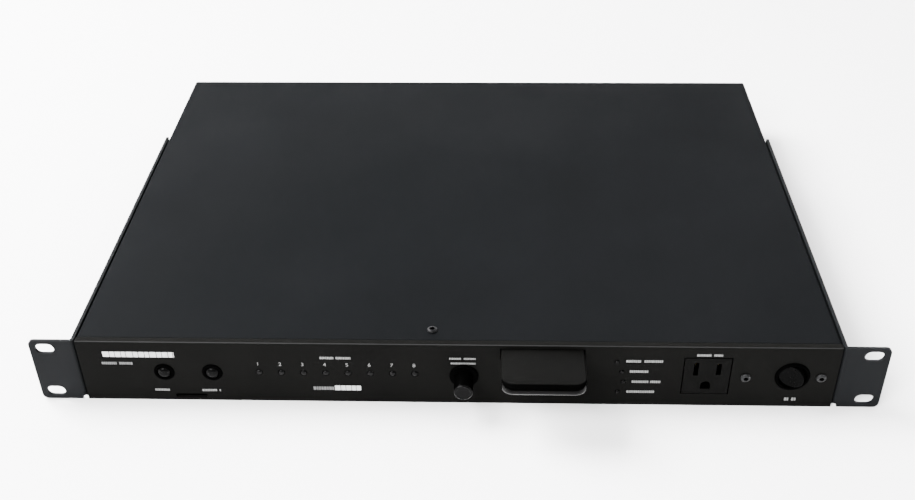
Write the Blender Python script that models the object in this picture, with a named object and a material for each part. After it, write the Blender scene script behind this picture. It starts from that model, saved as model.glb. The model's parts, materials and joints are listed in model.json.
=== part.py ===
"""Rack power strip, one rack unit high.

World frame, metres: X to the right of the front panel, Y towards the back,
Z up.  The underside lies on Z = 0; the origin is on the underside, 150 mm
behind the face of the front panel.  All sizes below are millimetres.
"""
import math

import bmesh
import bpy
from mathutils import Matrix, Vector

MM = 0.001

# ---- overall sizes ---------------------------------------------------------
FRONT = -150.0            # Y of the front panel's face
DEPTH = 317.0             # front face to rear face
BACK = FRONT + DEPTH
HEIGHT = 43.6             # one rack unit less its clearance
HALF_BODY = 214.5         # half the width of the case
HALF_EARS = 241.3         # half of the 482.6 mm rack width
GAP = 0.3                 # air between pieces that rest on each other

# ---- sheet metal -----------------------------------------------------------
PANEL_T = 2.0
PANEL_RETURN = 3.8
PANEL_BEND = 1.2
COVER_T = 1.2
COVER_BEND = 1.5
COVER_START = FRONT + PANEL_RETURN + GAP
TRAY_T = 1.2
TRAY_SIDE_H = 14.0
TRAY_END_H = 7.0
TRAY_HALF = 213.0
REAR_T = 1.5
TAB_LOW = 40.9
TAB_HIGH = 42.1

# ---- rack ears -------------------------------------------------------------
EAR_T = 1.8
EAR_INNER = 215.3
EAR_BACK = FRONT + 230.0
EAR_LOW, EAR_HIGH = 0.1, 43.5
EAR_CORNER = 3.0
EAR_BEND = 2.0
SLOT_X = 232.55
SLOT_Z = (5.95, 37.70)
SLOT_W, SLOT_H = 10.9, 7.0

# ---- screws ----------------------------------------------------------------
SCREW_R = 1.5
HOLE_R = 1.8
SIDE_SCREW_Y = (FRONT + 40.0, FRONT + 200.0)
SIDE_SCREW_Z = 9.0
COVER_SCREW = (-13.1, FRONT + 12.3)
REAR_SCREW_Y, REAR_SCREW_Z = BACK - 7.0, 26.0
PANEL_SCREWS = {
    "panel_screw_left": (163.5, 21.7),
    "panel_screw_right": (205.6, 22.1),
}

# ---- controls on the front -------------------------------------------------
BUTTON_X = (-166.7, -139.0)
BUTTON_Z = 21.5
BUTTON_HOLE_R = 5.5
NOTCH = (-153.5, 3.4, 18.4, 2.9)          # centre x, centre z, width, height
LAMP_X = [-111.9 + 12.7 * i for i in range(8)]
LAMP_Z = 21.8
LAMP_R, LAMP_HOLE_R = 1.8, 2.1
STATUS = ((90.8, 32.1), (93.9, 24.9), (95.2, 17.5), (92.4, 10.0))
STATUS_R, STATUS_HOLE_R = 1.2, 1.5
KNOB_X, KNOB_Z = 4.9, 21.0
SHAFT_R, SHAFT_BORE_R = 3.0, 3.3
DRAWER_X = (25.7, 72.4)
DRAWER_Z = (33.1, 40.5)
DRAWER_OUT = 31.0
DRAWER_IN = 30.0
DRAWER_CORNER = 7.0
DRAWER_EDGE = 1.8
DRAWER_GAP = 0.4
OUTLET_X, OUTLET_Z = 141.6, 22.3
OUTLET_FACE = 27.2
OUTLET_BODY = (25.0, 24.2)
OUTLET_CUTOUT = (25.6, 24.8)
FLUSH_FACE, FLUSH_CUTOUT, FLUSH_FLANGE = 25.8, 27.2, 30.0
BREAKER_X, BREAKER_Z = 189.4, 22.8
BREAKER_HOLE_R = 9.0
ROCKER_PIVOT_Y = FRONT + 0.5
ROCKER_TILT = 24.0                        # degrees, right half out at rest

# ---- rear and inside -------------------------------------------------------
REAR_OUTLET_X = [-96.0 + 38.0 * i for i in range(8)]
REAR_OUTLET_Z = 22.0
INLET_X, INLET_Z = -185.0, 21.0
INLET_BODY = (27.0, 19.4)
INLET_CUTOUT = (27.6, 20.0)
JACK_X = -140.0
JACK_SIZE = (16.0, 13.4)
JACK_LOW = 13.9
MAIN_PCB = ((-95.0, 195.0), (FRONT + 170.0, FRONT + 272.0), (8.0, 9.6))
NET_PCB = ((-166.0, -112.0), (BACK - 80.0, BACK - 6.0), (12.0, 13.6))
CONTROL_PCB = ((-185.0, 20.0), (FRONT + 10.0, FRONT + 11.6), (8.0, 37.5))
STATUS_PCB = ((82.0, 104.0), (FRONT + 8.0, FRONT + 9.6), (7.6, 36.0))
RELAY_X = [-76.0 + 36.0 * i for i in range(8)]
RELAY_Y = FRONT + 246.0

MATERIALS = {
    "black_powder_coat": ((0.022, 0.023, 0.024), 0.55, 0.0),
    "panel_black": ((0.014, 0.014, 0.013), 0.6, 0.0),
    "gloss_black": ((0.006, 0.006, 0.006), 0.12, 0.0),
    "moulded_black": ((0.012, 0.012, 0.012), 0.4, 0.0),
    "zinc_screw": ((0.30, 0.30, 0.30), 0.35, 0.9),
    "black_screw": ((0.04, 0.04, 0.045), 0.35, 0.6),
    "clear_lens": ((0.30, 0.32, 0.33), 0.15, 0.0),
    "white_lens": ((0.80, 0.82, 0.80), 0.3, 0.0),
    "bare_steel": ((0.45, 0.46, 0.47), 0.4, 0.9),
    "green_board": ((0.02, 0.16, 0.06), 0.45, 0.0),
    "relay_case": ((0.02, 0.05, 0.22), 0.4, 0.0),
    "copper_winding": ((0.55, 0.22, 0.08), 0.35, 0.6),
    "yellow_film": ((0.75, 0.55, 0.05), 0.4, 0.0),
}


# ---- building blocks -------------------------------------------------------
def clear_scene():
    for obj in list(bpy.data.objects):
        bpy.data.objects.remove(obj, do_unlink=True)


def material(name):
    found = bpy.data.materials.get(name)
    if found:
        return found
    colour, roughness, metallic = MATERIALS[name]
    made = bpy.data.materials.new(name)
    made.use_nodes = True
    shader = made.node_tree.nodes["Principled BSDF"]
    shader.inputs["Base Color"].default_value = (*colour, 1.0)
    shader.inputs["Roughness"].default_value = roughness
    shader.inputs["Metallic"].default_value = metallic
    made.diffuse_color = (*colour, 1.0)
    return made


def place(name, bm, origin=(0.0, 0.0, 0.0)):
    """Turn a bmesh in millimetres into an object whose origin is given."""
    bmesh.ops.recalc_face_normals(bm, faces=bm.faces)
    bmesh.ops.translate(bm, verts=bm.verts, vec=-Vector(origin))
    bmesh.ops.scale(bm, verts=bm.verts, vec=(MM, MM, MM))
    mesh = bpy.data.meshes.new(name)
    bm.to_mesh(mesh)
    bm.free()
    obj = bpy.data.objects.new(name, mesh)
    obj.location = Vector(origin) * MM
    bpy.context.scene.collection.objects.link(obj)
    return obj


def finish(obj, mat, smooth=False):
    obj.data.materials.clear()
    obj.data.materials.append(material(mat))
    if smooth:
        for poly in obj.data.polygons:
            poly.use_smooth = True
        obj.data.set_sharp_from_angle(angle=math.radians(35.0))
    return obj


def combine(obj, bm, operation):
    """Boolean a helper solid into an object."""
    tool = place(obj.name + "_tool", bm)
    tool.hide_render = True
    tool.display_type = "WIRE"
    step = obj.modifiers.new(operation.lower(), "BOOLEAN")
    step.operation = operation
    step.solver = "EXACT"
    step.object = tool


def add_box(bm, x, y, z):
    """Box between the pairs x, y and z."""
    size = (x[1] - x[0], y[1] - y[0], z[1] - z[0])
    mid = ((x[0] + x[1]) / 2, (y[0] + y[1]) / 2, (z[0] + z[1]) / 2)
    matrix = Matrix.Translation(mid) @ Matrix.Diagonal((*size, 1.0))
    return bmesh.ops.create_cube(bm, size=1.0, matrix=matrix)["verts"]


def box(x, y, z):
    bm = bmesh.new()
    add_box(bm, x, y, z)
    return bm


def turn_to(axis):
    """Rotation that lays the local Z axis along the named axis."""
    if axis == "X":
        return Matrix.Rotation(math.radians(90.0), 4, "Y")
    if axis == "Y":
        return Matrix.Rotation(math.radians(-90.0), 4, "X")
    return Matrix.Identity(4)


def add_rod(bm, centre, radius, span, axis, segments=24):
    """Cylinder along an axis; centre gives the two other coordinates."""
    index = "XYZ".index(axis)
    mid = list(centre)
    mid.insert(index, (span[0] + span[1]) / 2)
    matrix = Matrix.Translation(mid) @ turn_to(axis)
    bmesh.ops.create_cone(bm, cap_ends=True, segments=segments,
                          radius1=radius, radius2=radius,
                          depth=span[1] - span[0], matrix=matrix)


def rod(centre, radius, span, axis, segments=24):
    bm = bmesh.new()
    add_rod(bm, centre, radius, span, axis, segments)
    return bm


def add_prism(bm, outline, axis, span):
    """Outline in the plane across an axis, extruded between two values."""
    index = "XYZ".index(axis)
    rings = []
    for value in span:
        ring = []
        for point in outline:
            co = list(point)
            co.insert(index, value)
            ring.append(bm.verts.new(co))
        rings.append(ring)
    bm.faces.new(rings[0])
    bm.faces.new(list(reversed(rings[1])))
    count = len(outline)
    for i in range(count):
        j = (i + 1) % count
        bm.faces.new((rings[0][i], rings[1][i], rings[1][j], rings[0][j]))


def prism(outline, axis, span):
    bm = bmesh.new()
    add_prism(bm, outline, axis, span)
    return bm


def arc(cx, cy, radius, start, end, steps):
    """Points on an arc, angles in degrees."""
    points = []
    for i in range(steps + 1):
        angle = math.radians(start + (end - start) * i / steps)
        points.append((cx + radius * math.cos(angle), cy + radius * math.sin(angle)))
    return points


def rounded_rect(cx, cy, width, height, radius, steps=4):
    w, h = width / 2 - radius, height / 2 - radius
    points = []
    for sx, sy, start in ((1, 1, 0), (-1, 1, 90), (-1, -1, 180), (1, -1, 270)):
        points += arc(cx + sx * w, cy + sy * h, radius, start, start + 90, steps)
    return points


def lathe(profile, centre, segments=32):
    """Turn (radius, y) points about a Y axis through centre (x, z)."""
    bm = bmesh.new()
    verts = [bm.verts.new((r, y, 0.0)) for r, y in profile]
    edges = [bm.edges.new(pair) for pair in zip(verts, verts[1:])]
    bmesh.ops.spin(bm, geom=verts + edges, cent=(0, 0, 0), axis=(0, 1, 0),
                   angle=math.tau, steps=segments, use_merge=True)
    bmesh.ops.remove_doubles(bm, verts=bm.verts, dist=0.001)
    bmesh.ops.translate(bm, verts=bm.verts, vec=(centre[0], 0.0, centre[1]))
    return bm


# ---- sheet metal pieces ----------------------------------------------------
def front_panel():
    top = arc(FRONT + PANEL_BEND, HEIGHT - PANEL_BEND, PANEL_BEND, 90, 180, 3)
    outline = [
        (FRONT, 0.0), (FRONT + PANEL_T, 0.0),
        (FRONT + PANEL_T, HEIGHT - PANEL_T),
        (FRONT + PANEL_RETURN, HEIGHT - PANEL_T),
        (FRONT + PANEL_RETURN, HEIGHT), *top,
    ]
    obj = place("front_panel", prism(outline, "X", (-HALF_BODY, HALF_BODY)))
    tab_x = COVER_SCREW[0]
    combine(obj, box((tab_x - 9, tab_x + 9), (FRONT + 1, FRONT + 19),
                     (TAB_LOW, TAB_HIGH)), "UNION")
    cut = bmesh.new()
    through = (FRONT - 2.0, FRONT + PANEL_T + 1.0)
    for x in BUTTON_X:
        add_rod(cut, (x, BUTTON_Z), BUTTON_HOLE_R, through, "Y", 24)
    for x in LAMP_X:
        add_rod(cut, (x, LAMP_Z), LAMP_HOLE_R, through, "Y", 14)
    for x, z in STATUS:
        add_rod(cut, (x, z), STATUS_HOLE_R, through, "Y", 12)
    for x, z in PANEL_SCREWS.values():
        add_rod(cut, (x, z), HOLE_R, through, "Y", 12)
    add_rod(cut, (KNOB_X, KNOB_Z), SHAFT_R + 0.6, through, "Y", 16)
    add_rod(cut, (BREAKER_X, BREAKER_Z), BREAKER_HOLE_R, through, "Y", 32)
    add_prism(cut, rounded_rect(*NOTCH, 0.9, 3), "Y", through)
    add_box(cut, (DRAWER_X[0] - DRAWER_GAP, DRAWER_X[1] + DRAWER_GAP), through,
            (DRAWER_Z[0] - DRAWER_GAP, DRAWER_Z[1] + DRAWER_GAP))
    half = FLUSH_CUTOUT / 2
    add_box(cut, (OUTLET_X - half, OUTLET_X + half), through,
            (OUTLET_Z - half, OUTLET_Z + half))
    add_rod(cut, COVER_SCREW, HOLE_R, (TAB_LOW - 1, TAB_HIGH + 1), "Z", 12)
    combine(obj, cut, "DIFFERENCE")
    finish(obj, "panel_black")


def rack_ear(name, side):
    outer = EAR_INNER + EAR_T
    bend = arc(EAR_INNER + EAR_BEND, FRONT + EAR_BEND, EAR_BEND, 180, 270, 4)
    outline = [
        (HALF_EARS, FRONT), (HALF_EARS, FRONT + EAR_T),
        (outer + 0.4, FRONT + EAR_T), (outer, FRONT + EAR_T + 0.4),
        (outer, EAR_BACK), (EAR_INNER, EAR_BACK), *bend,
    ]
    outline = [(side * x, y) for x, y in outline]
    bm = prism(outline, "Z", (EAR_LOW, EAR_HIGH))
    corners = []
    for edge in bm.edges:
        a, b = edge.verts
        at_tip = all(abs(abs(v.co.x) - HALF_EARS) < 0.01 for v in (a, b))
        if at_tip and abs(a.co.z - b.co.z) < 0.01:
            corners.append(edge)
    bmesh.ops.bevel(bm, geom=corners, offset=EAR_CORNER, segments=4,
                    profile=0.5, affect="EDGES")
    obj = place(name, bm)
    cut = bmesh.new()
    for z in SLOT_Z:
        slot = rounded_rect(side * SLOT_X, z, SLOT_W, SLOT_H, SLOT_H / 2 - 0.01, 4)
        add_prism(cut, slot, "Y", (FRONT - 2, FRONT + EAR_T + 2))
    relief = sorted((side * (EAR_INNER - 1), side * (outer + 0.8)))
    add_box(cut, relief, (FRONT - 1, FRONT + 3), (EAR_LOW - 1, EAR_LOW + 2.2))
    flange = sorted((side * (EAR_INNER - 2), side * (outer + 2)))
    for y in SIDE_SCREW_Y:
        add_rod(cut, (y, SIDE_SCREW_Z), HOLE_R, flange, "X", 12)
    combine(obj, cut, "DIFFERENCE")
    finish(obj, "black_powder_coat")


def top_cover():
    r = COVER_BEND
    inner = HALF_BODY - COVER_T
    low = TRAY_T + GAP
    outline = [(-HALF_BODY, low)]
    outline += arc(-HALF_BODY + r, HEIGHT - r, r, 180, 90, 3)
    outline += arc(HALF_BODY - r, HEIGHT - r, r, 90, 0, 3)
    outline += [(HALF_BODY, low), (inner, low), (inner, HEIGHT - COVER_T),
                (-inner, HEIGHT - COVER_T), (-inner, low)]
    obj = place("top_cover", prism(outline, "Y", (COVER_START, BACK)))
    cut = bmesh.new()
    add_rod(cut, COVER_SCREW, HOLE_R, (HEIGHT - 3, HEIGHT + 3), "Z", 12)
    for side in (-1, 1):
        span = sorted((side * (inner - 2), side * (HALF_BODY + 2)))
        for y in SIDE_SCREW_Y:
            add_rod(cut, (y, SIDE_SCREW_Z), HOLE_R, span, "X", 12)
        add_rod(cut, (REAR_SCREW_Y, REAR_SCREW_Z), HOLE_R, span, "X", 12)
    combine(obj, cut, "DIFFERENCE")
    finish(obj, "black_powder_coat")


def chassis_tray():
    front, back = FRONT + PANEL_T + GAP, BACK - REAR_T - GAP
    obj = place("chassis_tray", box((-HALF_BODY, HALF_BODY), (front, back),
                                    (0.0, TRAY_T)))
    walls = bmesh.new()
    for side in (-1, 1):
        span = sorted((side * (TRAY_HALF - TRAY_T), side * TRAY_HALF))
        add_box(walls, span, (front + 6, back - 6), (TRAY_T / 2, TRAY_SIDE_H))
    add_box(walls, (-205, 205), (front, front + TRAY_T), (TRAY_T / 2, TRAY_END_H))
    add_box(walls, (-205, 205), (back - TRAY_T, back), (TRAY_T / 2, TRAY_END_H))
    for board, radius in ((MAIN_PCB, 3.0), (NET_PCB, 2.6)):
        for x in (board[0][0] + 6, board[0][1] - 6):
            for y in (board[1][0] + 6, board[1][1] - 6):
                add_rod(walls, (x, y), radius, (TRAY_T / 2, board[2][0] - GAP),
                        "Z", 10)
    combine(obj, walls, "UNION")
    cut = bmesh.new()
    for side in (-1, 1):
        span = sorted((side * (TRAY_HALF - 3), side * (TRAY_HALF + 3)))
        for y in SIDE_SCREW_Y:
            add_rod(cut, (y, SIDE_SCREW_Z), HOLE_R, span, "X", 12)
    combine(obj, cut, "DIFFERENCE")
    finish(obj, "black_powder_coat")


def rear_panel():
    obj = place("rear_panel", box((-TRAY_HALF, TRAY_HALF), (BACK - REAR_T, BACK),
                                  (0.1, TAB_HIGH)))
    tabs = bmesh.new()
    cut = bmesh.new()
    for side in (-1, 1):
        tab = sorted((side * (TRAY_HALF - REAR_T), side * TRAY_HALF))
        add_box(tabs, tab, (BACK - 14, BACK - REAR_T / 2),
                (REAR_SCREW_Z - 8, REAR_SCREW_Z + 8))
        span = sorted((side * (TRAY_HALF - 3), side * (TRAY_HALF + 3)))
        add_rod(cut, (REAR_SCREW_Y, REAR_SCREW_Z), HOLE_R, span, "X", 12)
    combine(obj, tabs, "UNION")
    through = (BACK - REAR_T - 1, BACK + 1)
    half_w, half_h = OUTLET_CUTOUT[0] / 2, OUTLET_CUTOUT[1] / 2
    for x in REAR_OUTLET_X:
        add_box(cut, (x - half_w, x + half_w), through,
                (REAR_OUTLET_Z - half_h, REAR_OUTLET_Z + half_h))
    half_w, half_h = INLET_CUTOUT[0] / 2, INLET_CUTOUT[1] / 2
    add_box(cut, (INLET_X - half_w, INLET_X + half_w), through,
            (INLET_Z - half_h, INLET_Z + half_h))
    half_w = JACK_SIZE[0] / 2 + GAP
    add_box(cut, (JACK_X - half_w, JACK_X + half_w), through,
            (JACK_LOW - GAP, JACK_LOW + JACK_SIZE[1] + GAP))
    combine(obj, cut, "DIFFERENCE")
    finish(obj, "black_powder_coat")


# ---- screws ----------------------------------------------------------------
def screw(name, base, direction, length, head_r=2.9, head_h=1.6, mat="zinc_screw"):
    """Button-head screw: head stands on base along direction, shank goes back."""
    bm = bmesh.new()
    profile = [
        (0.0, -1.2 + head_h), (1.15, -1.2 + head_h), (1.15, head_h),
        (head_r * 0.62, head_h), (head_r, head_h * 0.5), (head_r, 0.06),
        (SCREW_R, 0.06),
        (SCREW_R, -length), (0.0, -length),
    ]
    verts = [bm.verts.new((r, 0.0, h)) for r, h in profile]
    edges = [bm.edges.new(pair) for pair in zip(verts, verts[1:])]
    bmesh.ops.spin(bm, geom=verts + edges, cent=(0, 0, 0), axis=(0, 0, 1),
                   angle=math.tau, steps=12, use_merge=True)
    bmesh.ops.remove_doubles(bm, verts=bm.verts, dist=0.001)
    turn = Vector((0, 0, 1)).rotation_difference(Vector(direction)).to_matrix()
    bmesh.ops.transform(bm, verts=bm.verts,
                        matrix=Matrix.Translation(base) @ turn.to_4x4())
    finish(place(name, bm, base), mat, smooth=True)


def screws():
    screw("cover_screw_front", (*COVER_SCREW, HEIGHT), (0, 0, 1), 5.0,
          mat="black_screw")
    for label, side in (("left", -1), ("right", 1)):
        screw("cover_screw_rear_" + label,
              (side * HALF_BODY, REAR_SCREW_Y, REAR_SCREW_Z), (side, 0, 0), 5.0,
              mat="black_screw")
    for name, (x, z) in PANEL_SCREWS.items():
        screw(name, (x, FRONT, z), (0, -1, 0), 7.0, mat="zinc_screw")
    outer = EAR_INNER + EAR_T
    for label, side in (("left", -1), ("right", 1)):
        for place_name, y in zip(("front", "rear"), SIDE_SCREW_Y):
            screw("ear_screw_%s_%s" % (label, place_name),
                  (side * outer, y, SIDE_SCREW_Z), (side, 0, 0), 9.0,
                  mat="black_screw")


# ---- push buttons ----------------------------------------------------------
def buttons():
    for number, x in enumerate(BUTTON_X, 1):
        centre = (x, BUTTON_Z)
        ring = [
            (4.0, FRONT - 0.85), (5.4, FRONT - 0.85), (5.85, FRONT - 0.45),
            (5.85, FRONT - 0.06), (5.2, FRONT - 0.06), (5.2, FRONT + 4.5),
            (4.9, FRONT + 4.5), (4.9, FRONT + 0.8), (4.0, FRONT + 0.8),
            (4.0, FRONT - 0.85),
        ]
        finish(place("button_bezel_%d" % number, lathe(ring, centre, 24)),
               "gloss_black", smooth=True)
        cap = [
            (0.0, FRONT - 2.1), (1.5, FRONT - 1.95), (2.7, FRONT - 1.5),
            (3.4, FRONT - 0.85), (3.65, FRONT - 0.1), (3.65, FRONT + 1.2),
            (4.6, FRONT + 1.2), (4.6, FRONT + 2.2), (1.8, FRONT + 2.2),
            (1.8, FRONT + 4.4), (0.0, FRONT + 4.4),
        ]
        finish(place("reboot_button_%d" % number, lathe(cap, centre, 20),
                     (x, FRONT, BUTTON_Z)), "gloss_black", smooth=True)
        switch = place("button_switch_%d" % number,
                       box((x - 3.1, x + 3.1), (FRONT + 6.7, FRONT + 9.7),
                           (BUTTON_Z - 3.1, BUTTON_Z + 3.1)))
        combine(switch, rod(centre, 1.5, (FRONT + 5.7, FRONT + 7.2), "Y", 12), "UNION")
        finish(switch, "moulded_black")


# ---- light pipes -----------------------------------------------------------
def light_pipe(name, points, radius, segments, bar):
    obj = place(name, box(*bar))
    pipes = bmesh.new()
    for x, z in points:
        profile = [
            (0.0, FRONT - 0.75), (radius * 0.7, FRONT - 0.5), (radius, FRONT + 0.3),
            (radius, FRONT + 5.0), (0.0, FRONT + 5.0),
        ]
        pipe = lathe(profile, (x, z), segments)
        mesh = bpy.data.meshes.new(name + "_pipe")
        pipe.to_mesh(mesh)
        pipe.free()
        pipes.from_mesh(mesh)
        bpy.data.meshes.remove(mesh)
    combine(obj, pipes, "UNION")
    finish(obj, "clear_lens", smooth=True)


def lamps():
    behind = (FRONT + 4.0, FRONT + 6.0)
    light_pipe("outlet_light_pipe", [(x, LAMP_Z) for x in LAMP_X], LAMP_R, 12,
               ((LAMP_X[0] - 3, LAMP_X[-1] + 3), behind, (LAMP_Z - 3, LAMP_Z + 3)))
    light_pipe("status_light_pipe", STATUS, STATUS_R, 10,
               ((88.0, 98.0), behind, (STATUS[-1][1] - 2.4, STATUS[0][1] + 2.4)))


# ---- dimmer knob -----------------------------------------------------------
def dimmer():
    centre = (KNOB_X, KNOB_Z)
    hub = (KNOB_X, FRONT, KNOB_Z)
    knob = [
        (0.0, FRONT - 9.0), (SHAFT_BORE_R, FRONT - 9.0),
        (SHAFT_BORE_R, FRONT - 0.4), (8.2, FRONT - 0.4), (8.2, FRONT - 1.1),
        (7.6, FRONT - 1.8), (5.6, FRONT - 2.1), (5.3, FRONT - 14.4),
        (4.7, FRONT - 15.0), (0.0, FRONT - 15.0),
    ]
    finish(place("dimmer_knob", lathe(knob, centre, 28), hub),
           "gloss_black", smooth=True)
    finish(place("dimmer_shaft", rod(centre, SHAFT_R, (FRONT - 8.6, FRONT + 8.8),
                                     "Y", 20), hub), "bare_steel", smooth=True)
    pot = place("dimmer_pot", box((KNOB_X - 6, KNOB_X + 6), (FRONT + 3.2, FRONT + 9.7),
                                  (KNOB_Z - 6, KNOB_Z + 6)))
    combine(pot, rod(centre, SHAFT_BORE_R, (FRONT + 2.0, FRONT + 9.1), "Y", 20),
            "DIFFERENCE")
    finish(pot, "moulded_black")


# ---- pull-out light --------------------------------------------------------
def light_drawer():
    x0, x1 = DRAWER_X
    nose, tail = FRONT - DRAWER_OUT, FRONT + DRAWER_IN
    r = DRAWER_CORNER
    outline = [(x0, tail)]
    outline += arc(x0 + r, nose + r, r, 180, 270, 5)
    outline += arc(x1 - r, nose + r, r, 270, 360, 5)
    outline += [(x1, tail)]
    bm = prism(outline, "Z", DRAWER_Z)
    rim = []
    for edge in bm.edges:
        a, b = edge.verts
        level = abs(a.co.z - b.co.z) < 0.01
        at_tail = abs(a.co.y - tail) < 0.01 and abs(b.co.y - tail) < 0.01
        if level and not at_tail:
            rim.append(edge)
    bmesh.ops.bevel(bm, geom=rim, offset=DRAWER_EDGE, segments=3, profile=0.5,
                    affect="EDGES")
    middle = (x0 + x1) / 2
    obj = place("light_drawer", bm, (middle, nose, DRAWER_Z[0]))
    combine(obj, box((x0 + 5, x1 - 5), (nose + 5, nose + 12),
                     (DRAWER_Z[0] - 1, DRAWER_Z[0] + 2.6)), "DIFFERENCE")
    finish(obj, "moulded_black", smooth=True)
    lens = box((x0 + 5.2, x1 - 5.2), (nose + 5.2, nose + 11.8),
               (DRAWER_Z[0], DRAWER_Z[0] + 1.0))
    finish(place("light_lens", lens, (middle, nose, DRAWER_Z[0])), "white_lens")
    strip = box((x0 + 5.4, x1 - 5.4), (nose + 5.4, nose + 11.6),
                (DRAWER_Z[0] + 1.3, DRAWER_Z[0] + 2.3))
    finish(place("light_led_strip", strip, (middle, nose, DRAWER_Z[0])), "green_board")
    wall = 1.1
    x = (x0 - DRAWER_GAP, x1 + DRAWER_GAP)
    z = (DRAWER_Z[0] - DRAWER_GAP, DRAWER_Z[1] + DRAWER_GAP)
    guide = place("light_guide", box((x[0] - wall, x[1] + wall),
                                     (COVER_START, FRONT + 66.0),
                                     (z[0] - wall, z[1] + wall)))
    combine(guide, box(x, (FRONT, FRONT + 68.0), z), "DIFFERENCE")
    finish(guide, "moulded_black")


# ---- breaker switch --------------------------------------------------------
def breaker():
    x, z = BREAKER_X, BREAKER_Z
    ring = [
        (7.9, FRONT + 8.5), (7.9, FRONT - 1.25), (9.2, FRONT - 1.25),
        (9.8, FRONT - 0.6), (9.8, FRONT - 0.06),
        (8.7, FRONT - 0.06), (8.7, FRONT + 12.0), (0.0, FRONT + 12.0),
    ]
    ring.insert(0, (0.0, FRONT + 8.5))
    body = place("breaker_body", lathe(ring, (x, z), 32))
    shell = bmesh.new()
    add_box(shell, (x - 10.5, x + 10.5), (FRONT + 11.0, FRONT + 29.0), (z - 10, z + 10))
    combine(body, shell, "UNION")
    terminals = bmesh.new()
    for side in (-5.5, 5.5):
        add_box(terminals, (x + side - 0.4, x + side + 0.4),
                (FRONT + 28.0, FRONT + 37.0), (z - 3.15, z + 3.15))
    combine(body, terminals, "UNION")
    finish(body, "gloss_black", smooth=True)

    pivot = Vector((x, ROCKER_PIVOT_Y, z))
    valley = [
        (-7.6, -3.05), (-4.0, -2.0), (0.0, -1.5), (4.0, -2.0), (7.6, -3.05),
        (7.6, 0.8), (3.6, 4.4), (-3.6, 4.4), (-7.6, 0.8),
    ]
    paddle = place("breaker_rocker", prism(valley, "Z", (-7.6, 7.6)))
    finish(paddle, "gloss_black", smooth=True)
    combine(paddle, rod((0.0, 0.0), 7.0, (-8.0, 8.0), "Y", 28), "INTERSECT")
    tool = paddle.modifiers[0].object
    for obj in (paddle, tool):
        obj.location = pivot * MM
        obj.rotation_euler = (0.0, 0.0, -math.radians(ROCKER_TILT))


# ---- outlets, inlet and network jack ---------------------------------------
def outlet(name, x, z, face, inward, flush=False):
    """Grounded outlet; face is the panel's Y, inward +1 or -1 into the case.
    A flush one fills its cutout and has its flange behind the panel."""
    out = -inward
    if flush:
        width, flange_width = (FLUSH_FACE, FLUSH_FACE), FLUSH_FLANGE
        flange_y = sorted((face + inward * 2.06, face + inward * 3.4))
        body_y = sorted((face + out * 0.2, face + inward * 24.0))
    else:
        width, flange_width = OUTLET_BODY, OUTLET_FACE
        flange_y = sorted((face + out * 0.06, face + out * 1.06))
        body_y = sorted((face + out * 0.6, face + inward * 24.0))
    obj = place(name, prism(rounded_rect(x, z, flange_width, flange_width, 0.8, 2),
                            "Y", flange_y))
    half_w, half_h = width[0] / 2, width[1] / 2
    combine(obj, box((x - half_w, x + half_w), body_y, (z - half_h, z + half_h)),
            "UNION")
    cut = bmesh.new()
    depth = sorted((face + out * 3.0, face + inward * 16.0))
    neutral = x - 6.35 * inward
    live = x + 6.35 * inward
    for centre, tall in ((neutral, 9.2), (live, 7.9)):
        add_box(cut, (centre - 1.25, centre + 1.25), depth,
                (z + 5.2 - tall / 2, z + 5.2 + tall / 2))
    ground = [(x - 2.7, z - 9.4), (x + 2.7, z - 9.4)]
    ground += arc(x, z - 6.6, 2.7, 0, 180, 8)
    add_prism(cut, ground, "Y", depth)
    combine(obj, cut, "DIFFERENCE")
    finish(obj, "moulded_black")


def outlets():
    outlet("front_outlet", OUTLET_X, OUTLET_Z, FRONT, 1, flush=True)
    for number, x in enumerate(reversed(REAR_OUTLET_X), 1):
        outlet("rear_outlet_%d" % number, x, REAR_OUTLET_Z, BACK, -1)


def power_inlet():
    x, z = INLET_X, INLET_Z
    obj = place("power_inlet", prism(rounded_rect(x, z, 31.0, 24.0, 2.0, 3), "Y",
                                     (BACK + 0.06, BACK + 2.0)))
    half_w, half_h = INLET_BODY[0] / 2, INLET_BODY[1] / 2
    combine(obj, box((x - half_w, x + half_w), (BACK - 20.0, BACK + 1.0),
                     (z - half_h, z + half_h)), "UNION")
    w, h, chamfer = 12.1, 8.2, 4.0
    mouth = [(x - w, z - h), (x + w, z - h), (x + w, z + h - chamfer),
             (x + w - chamfer, z + h), (x - w + chamfer, z + h),
             (x - w, z + h - chamfer)]
    combine(obj, prism(mouth, "Y", (BACK - 12.0, BACK + 3.0)), "DIFFERENCE")
    pins = bmesh.new()
    for dx, dz in ((-7.0, -2.0), (0.0, 2.0), (7.0, -2.0)):
        add_box(pins, (x + dx - 1.0, x + dx + 1.0), (BACK - 13.0, BACK - 1.5),
                (z + dz - 2.0, z + dz + 2.0))
    combine(obj, pins, "UNION")
    finish(obj, "moulded_black")


def network_jack():
    half = JACK_SIZE[0] / 2
    top = JACK_LOW + JACK_SIZE[1]
    obj = place("network_jack", box((JACK_X - half, JACK_X + half),
                                    (BACK - 21.0, BACK + 0.4), (JACK_LOW, top)))
    w, low = 5.9, JACK_LOW + 3.6
    mouth = [(JACK_X - w, low), (JACK_X - 3.1, low), (JACK_X - 3.1, low - 2.0),
             (JACK_X + 3.1, low - 2.0), (JACK_X + 3.1, low), (JACK_X + w, low),
             (JACK_X + w, low + 7.0), (JACK_X - w, low + 7.0)]
    combine(obj, prism(mouth, "Y", (BACK - 13.0, BACK + 2.0)), "DIFFERENCE")
    finish(obj, "bare_steel")


# ---- boards and components -------------------------------------------------
def boards():
    for name, span in (("main_pcb", MAIN_PCB), ("network_board", NET_PCB),
                       ("control_pcb", CONTROL_PCB), ("status_pcb", STATUS_PCB)):
        finish(place(name, box(*span)), "green_board")


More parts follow.
